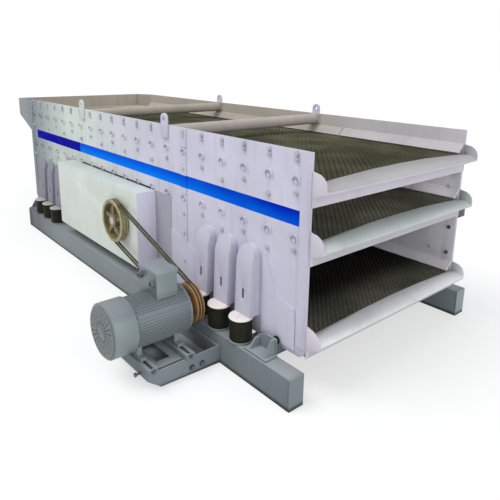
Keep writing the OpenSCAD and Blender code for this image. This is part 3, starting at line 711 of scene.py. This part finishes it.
# one finish for each material slot of the record
finishes = {
    "box_paint": screen_box_paint(),
    "base_paint": base_frame_paint(),
    "motor_paint": motor_enamel(),
    "feed_paint": feed_box_paint(),
    "chute_steel": chute_paint(),
    "deck_paint": paint("deck_paint", (0.10, 0.097, 0.085), dust=(0.07, 0.06, 0.04), dust_amount=0.6),
    "wire_cloth": wire_steel(),
    "cap_paint": spring_cap_paint(),
    "guard_paint": gear_guard_paint(),
    "housing_iron": cast_iron("housing_iron", (0.22, 0.24, 0.26), rust=(0.2, 0.09, 0.035), rust_amount=0.1),
    "rubber": moulded_rubber("spring_rubber", (0.0155, 0.0155, 0.009), 0.55),
    "belt_rubber": moulded_rubber("belt_rubber", (0.07, 0.066, 0.04), 0.6),
    "dark_steel": machined_steel("oiled_steel", (0.13, 0.14, 0.15), 0.42),
    "gland_plastic": moulded_plastic("gland_plastic", (0.11, 0.12, 0.13)),
    "shaft_steel": machined_steel("shaft_steel", (0.5, 0.49, 0.47), 0.28),
    "fan_plastic": moulded_plastic("fan_plastic", (0.03, 0.03, 0.03)),
    "motor_sheave_iron": sheave_iron(
        "motor_sheave_iron", "motor_sheave",
        rim=(0.44, 0.23, 0.085), web_shade=(0.30, 0.14, 0.045), rust=(0.55, 0.27, 0.04), rust_amount=0.5,
    ),
    "driven_sheave_iron": sheave_iron(
        "driven_sheave_iron", "driven_sheave",
        rim=(0.40, 0.37, 0.20), web_shade=(0.20, 0.165, 0.075), rust=(0.12, 0.06, 0.02), rust_amount=0.45,
    ),
    "gear_steel": machined_steel("gear_steel", (0.35, 0.34, 0.32), 0.36),
}
bolt_paint = paint("bolt_paint", (0.46, 0.46, 0.52), dust=(0.2, 0.19, 0.2), dust_amount=0.5)
block_paint = paint("block_paint", (0.035, 0.037, 0.032), dust=(0.24, 0.21, 0.18), dust_amount=0.3)


def dress_cad_nodes():
    """Gives every node of the frame the finish of its slot."""
    for name, node in frame["nodes"].items():
        node.data.materials.clear()
        node.data.materials.append(finishes[slot_of(name)])


# ---- wire cloth ----

WIRE_SIDES = 4
# how far a cross wire swings up and down, as a multiple of the wire's radius
CRIMP = 1.8
# how far the lengthwise wires' centre lines lie under the top of a deck's plain grid, at mid width
WIRE_DROP = 0.002


def crimped_wire(radius, pitch, swing):
    """Two pitches of a crimped wire along X: a crown, a hollow and a crown."""
    bpy.ops.mesh.primitive_circle_add(
        vertices=WIRE_SIDES, radius=radius, location=(0, 0, swing), rotation=(0, math.pi / 2, 0)
    )
    wire = bpy.context.active_object
    take(wire)
    bpy.ops.object.transform_apply(location=True, rotation=True, scale=True)
    edit(wire, "EDGE")
    bpy.ops.mesh.select_all(action="SELECT")
    for side in (-1, 1):
        bpy.ops.mesh.extrude_region_move(TRANSFORM_OT_translate={"value": (pitch, 0, 2 * side * swing)})
    stop_editing()
    return wire


def woven_cloth(name, node, pitch, radius):
    """A crowned cloth of straight lengthwise and crimped cross wires, in place of a deck's plain grid."""
    low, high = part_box(node)
    length, width = high.x - low.x - 2 * radius, high.y - low.y - 2 * radius
    rows, columns = (2 * round(size / pitch / 2) for size in (length, width))
    along, across = length / rows, width / columns
    start = Vector((low.x + radius, low.y + radius, 0))
    swing = CRIMP * radius

    runs = cylinder(radius, length, WIRE_SIDES, ((low.x + high.x) / 2, start.y, 0), "X")
    wires = [repeated(runs, columns + 1, (0, across, 0))]
    turned = Matrix.Rotation(math.pi / 2, 4, "Z")
    for first, count in ((0, rows // 2 + 1), (1, rows // 2)):
        wire = repeated(crimped_wire(radius, across, swing), columns // 2, (2 * across, 0, 0), merge=True)
        flipped = Matrix.Diagonal((1, 1, -1 if first else 1, 1))
        placed = Matrix.Translation(start + Vector((first * along, 0, 0)))
        wire.data.transform(placed @ turned @ flipped)
        wires.append(repeated(wire, count, (2 * along, 0, 0)))
    cloth = joined(wires)
    edit(cloth, "EDGE")
    bpy.ops.mesh.select_all(action="SELECT")
    bpy.ops.mesh.fill_holes(sides=WIRE_SIDES)
    bpy.ops.mesh.select_all(action="SELECT")
    bpy.ops.mesh.normals_make_consistent(inside=False)
    stop_editing()

    crest = high.z - WIRE_DROP
    for vertex in cloth.data.vertices:
        vertex.co.z += crest - ARC_RADIUS + math.sqrt(ARC_RADIUS ** 2 - vertex.co.y ** 2)
    settle(cloth, name, "screen_box", finishes["wire_cloth"], WIRE_SMOOTH_ANGLE)
    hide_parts(node)


# ---- bolts ----

# how far the two top rows lie below the plates' top edge, and the other two below the hoods' centres
TOP_ROW_DROPS = (0.057, 0.025)
UPPER_ROW_DROP = 0.124
LOWER_ROW_DROP = 0.121
# every second bolt in the rows under the hoods sits higher by this much
STAGGER = 0.05
SPLICE_BOLT_ZS = (0.381, 0.511, 0.738)
# each bolt of the side plates is turned this much further than the one before, in radians
TWIST_STEP = 0.9

# (x, z) of what is fixed to the far plate's inner face near the discharge end
FAR_BOLT_SPOTS = ((2.347, 0.770), (2.345, 0.554), (2.369, 0.440))
FAR_RIVET_SPOTS = (
    (1.768, 0.448), (1.907, 0.432), (2.198, 0.564), (1.927, 0.862),
    (2.166, 0.872), (2.192, 1.225), (2.310, 1.105), (2.226, 1.072),
)

BRACKET_BOLT_YS = (-1.268, -1.186)
BRACKET_BOLT_Z = 0.060


def chamfered_front(piece, margin, rise):
    """Draws in the faces that look along -Y by the margin, and brings them forward by the rise."""
    edit(piece)
    pick_faces(piece, lambda normal: normal.y < -LOOKS_ALONG)
    bpy.ops.mesh.inset(thickness=margin, depth=rise)
    stop_editing()


def hex_bolt(across_flats, head):
    """A hexagon head with a washer, seated on Y = 0 and standing out towards -Y."""
    radius = across_flats / math.sqrt(3)
    washer_depth = head * 0.2
    bolt = cylinder(radius, head, 6, (0, -head / 2 - washer_depth, 0), "Y")
    chamfered_front(bolt, radius * 0.16, head * 0.18)
    washer = cylinder(radius * 1.25, washer_depth, 14, (0, -washer_depth / 2, 0), "Y")
    chamfered_front(washer, radius * 0.08, head * 0.05)
    return joined([bolt, washer])


def on_both_sides(points):
    """Matrices for bolts seated at (x, y, z) on the drive side, and for the same on the far side."""
    half_turn = Matrix.Rotation(math.pi, 4, "Z")
    matrices = []
    for index, (x, y, z) in enumerate(points):
        twist = Matrix.Rotation(index * TWIST_STEP, 4, "Y")
        matrices.append(Matrix.Translation((x, y, z)) @ twist)
        matrices.append(Matrix.Translation((x, -y, z)) @ half_turn @ twist)
    return matrices


def side_plate_bolts():
    """Rows at the plates' top edge and under the hoods, except over the pads, and three at the splice."""
    points = []
    for index, x in enumerate(HOOD_XS):
        lift = STAGGER * (index % 2)
        points.append((x, PLATE_Y, UPPER_HOOD_Z - UPPER_ROW_DROP + lift))
        points += [(x, PLATE_Y, PLATE_TOP - drop) for drop in TOP_ROW_DROPS]
        if not guard_low.x - PAD_REACH < x < guard_high.x + PAD_REACH:
            points.append((x, PLATE_Y, LOWER_HOOD_Z - LOWER_ROW_DROP + lift))
    points += [(SPLICE_X, PLATE_Y, z) for z in SPLICE_BOLT_ZS]
    piece = scattered(hex_bolt(across_flats=0.026, head=0.012), on_both_sides(points))
    settle(piece, "side_plate_bolts", "screen_box", bolt_paint)


def far_plate_bolts(name, spots, material):
    """Bolts or rivets on the far plate's inner face."""
    seats = [Matrix.Translation((x, INNER_Y, z)) for x, z in spots]
    piece = scattered(hex_bolt(across_flats=0.022, head=0.012), seats)
    settle(piece, name, "screen_box", material)


def bracket_bolts():
    """Two bolts in the motor bracket's end plate."""
    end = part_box("motor_bracket")[1].x
    turned = Matrix.Rotation(math.pi / 2, 4, "Z")
    seats = [Matrix.Translation((end, y, BRACKET_BOLT_Z)) @ turned for y in BRACKET_BOLT_YS]
    piece = scattered(hex_bolt(across_flats=0.030, head=0.014), seats)
    settle(piece, "bracket_bolts", "base", finishes["dark_steel"])


# ---- strips, blocks and sheets ----


def guard_seal_and_shade():
    """Rubber strip that closes the seam between the guard's top and the side plate; its dark colour
    is also painted shade along that seam.
    """
    start, end = -0.86, 0.61
    stands_out, overlap, rise = 0.004, 0.002, 0.010
    low = (start, DOUBLER_Y - stands_out, guard_high.z - overlap)
    high = (end, PLATE_Y, guard_high.z + rise)
    piece = block(low, high)
    modify(piece, "BEVEL", width=0.003, segments=2)
    settle(piece, "guard_seal_and_shade", "screen_box", finishes["rubber"])


def far_corner_block():
    """Small dark block on the far plate's outer face beside the middle chute."""
    start, end = 2.305, 2.396
    depth = 0.128
    bottom, top = 0.850, 0.945
    piece = block((start, -PLATE_Y, bottom), (end, -PLATE_Y + depth, top))
    modify(piece, "BEVEL", width=0.004, segments=2)
    settle(piece, "far_corner_block", "screen_box", block_paint)


def motor_bed_plate():
    """Sheet between the slide rails, a little lower than they are, with a window in its middle."""
    gap, thickness = 0.002, 0.006
    half_width, end_inset = 0.125, 0.045
    window_margin = 0.075
    low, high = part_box("slide_rails")
    middle_y = (low.y + high.y) / 2
    top = low.z - gap
    plate = block((low.x + end_inset, middle_y - half_width, top - thickness),
                  (high.x - end_inset, middle_y + half_width, top))
    edit(plate)
    pick_faces(plate, lambda normal: abs(normal.z) > LOOKS_ALONG)
    bpy.ops.mesh.inset(thickness=window_margin, depth=0)
    bpy.ops.mesh.bridge_edge_loops()
    stop_editing()
    modify(plate, "BEVEL", width=0.0015, segments=2, limit_method="ANGLE")
    settle(plate, "motor_bed_plate", "base", finishes["base_paint"])


# ---- CAD pieces with rounded edges ----

# rigid pieces that are shown with rounded edges, and the width of the rounding
SOFT_EDGES = {
    "base_girders": 0.009, "girder_ends": 0.004, "motor_bracket": 0.003, "stop_brackets": 0.003,
    "slide_rails": 0.004, "terminal_box": 0.007, "drive_guard": 0.007, "far_guard": 0.007,
    "feed_box": 0.002, "top_chute": 0.003, "mid_chute": 0.003, "low_chute": 0.003,
    "motor_cowl": 0.004, "lifting_lugs": 0.003, "spring_brackets": 0.006,
    "side_plate_drive": 0.002, "side_plate_far": 0.002,
}


def stretching_springs():
    """The rubber springs, with rounded edges, no body of their own and their place baked into the mesh."""
    springs = softened("rubber_springs", 0.003, bends=True)
    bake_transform(springs)


def swinging_belts():
    """The V-belts, with rounded edges, no body of their own and their place baked into the mesh;
    the sheaves' centres and radii are worked out but not used.
    """
    centres, radii = [], []
    for node in ("motor_sheave", "driven_sheave"):
        low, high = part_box(node)
        centres.append((low + high) / 2)
        radii.append((high.x - low.x) / 2)
    belts = softened("v_belts", 0.001, bends=True)
    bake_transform(belts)


# ---- camera, light and floor ----

# the camera's place and its angles in degrees: turned from looking along +Y, tilted down, and rolled
CAMERA_PLACE = (4.3402, -2.9798, 2.0564)
CAMERA_TURN = 49.54
CAMERA_TILT = 13.48
CAMERA_ROLL = 0.81

# share of plain white in the floor as the camera sees it, which lightens the shadow
SHADOW_FADE = 0.6


def main_camera():
    """A view of the drive side and the discharge end, from a little above."""
    camera = bpy.data.objects.new("camera", bpy.data.cameras.new("camera"))
    bpy.context.scene.collection.objects.link(camera)
    turn, tilt, roll = (math.radians(angle) for angle in (CAMERA_TURN, CAMERA_TILT, CAMERA_ROLL))
    camera.matrix_world = (
        Matrix.Translation(CAMERA_PLACE)
        @ Matrix.Rotation(turn, 4, "Z")
        @ Matrix.Rotation(math.pi / 2 - tilt, 4, "X")
        @ Matrix.Rotation(roll, 4, "Z")
    )
    camera.data.sensor_width = 36
    camera.data.lens = 37.17
    camera.data.shift_y = -0.13
    camera.data.clip_end = 400
    bpy.context.scene.camera = camera


def directly_seen(nodes, links):
    """1 for what the camera sees, straight or by way of shiny and clear things, else 0."""
    path = nodes.new("ShaderNodeLightPath")
    seen = path.outputs["Is Camera Ray"]
    for ray in ("Is Glossy Ray", "Is Transmission Ray"):
        either = nodes.new("ShaderNodeMath")
        either.operation = "MAXIMUM"
        links.new(seen, either.inputs[0])
        links.new(path.outputs[ray], either.inputs[1])
        seen = either.outputs[0]
    return seen


def studio_world():
    """A dim pale sky that lights, and a white one that the camera and shiny things see."""
    world = bpy.data.worlds.new("studio")
    bpy.context.scene.world = world
    world.use_nodes = True
    nodes, links = world.node_tree.nodes, world.node_tree.links
    sky = nodes["Background"]
    sky.inputs["Color"].default_value = (0.95, 0.97, 1.0, 1)
    sky.inputs["Strength"].default_value = 0.5
    backdrop = nodes.new("ShaderNodeBackground")
    backdrop.inputs["Color"].default_value = (1, 1, 1, 1)
    backdrop.inputs["Strength"].default_value = 1.0
    mix = nodes.new("ShaderNodeMixShader")
    links.new(directly_seen(nodes, links), mix.inputs[0])
    links.new(sky.outputs[0], mix.inputs[1])
    links.new(backdrop.outputs[0], mix.inputs[2])
    links.new(mix.outputs[0], nodes["World Output"].inputs["Surface"])


def broad_lamp(name, strength, softness, towards):
    """A distant soft lamp that stands in the direction given; its softness is an angle in degrees."""
    lamp = bpy.data.lights.new(name, "SUN")
    lamp.energy = strength
    lamp.angle = math.radians(softness)
    lamp_object = bpy.data.objects.new(name, lamp)
    bpy.context.scene.collection.objects.link(lamp_object)
    lamp_object.rotation_euler = Vector(towards).to_track_quat("Z", "Y").to_euler()


def floor():
    """A white floor that keeps a light shadow of the machine."""
    lighting_gray = (0.72, 0.72, 0.72)
    white = (1.0, 1.0, 1.0)
    bpy.ops.mesh.primitive_plane_add(size=160, location=(0, 0, 0))
    piece = bpy.context.active_object
    piece.name = "floor"
    finish = Finish("floor_white", 0.9, specular=0.1)
    seen = directly_seen(finish.nodes, finish.links)
    finish.done(finish.blend(seen, lighting_gray, white))
    plain_white = finish.nodes.new("ShaderNodeEmission")
    mix = finish.nodes.new("ShaderNodeMixShader")
    finish.links.new(finish.calc("MULTIPLY", seen, SHADOW_FADE), mix.inputs[0])
    finish.links.new(finish.surface.outputs[0], mix.inputs[1])
    finish.links.new(plain_white.outputs[0], mix.inputs[2])
    finish.links.new(mix.outputs[0], finish.nodes["Material Output"].inputs["Surface"])
    piece.data.materials.append(finish.material)


# ---- the work ----

bpy.context.scene.view_settings.view_transform = "Standard"
main_camera()
studio_world()
broad_lamp("key", strength=1.64, softness=35, towards=(-0.20, -0.40, 0.70))
broad_lamp("fill", strength=1.3, softness=70, towards=(0.85, -0.10, 0.32))
floor()
dress_cad_nodes()
woven_cloth("top_cloth", "top_mesh", pitch=0.0240, radius=0.0036)
woven_cloth("middle_cloth", "mid_mesh", pitch=0.0225, radius=0.0042)
woven_cloth("bottom_cloth", "low_mesh", pitch=0.0210, radius=0.0052)
side_plate_bolts()
far_plate_bolts("far_plate_bolts", FAR_BOLT_SPOTS, finishes["dark_steel"])
far_plate_bolts("far_plate_rivets", FAR_RIVET_SPOTS, bolt_paint)
bracket_bolts()
guard_seal_and_shade()
far_corner_block()
motor_bed_plate()
for node, width in SOFT_EDGES.items():
    softened(node, width)
stretching_springs()
swinging_belts()

deselect_all()
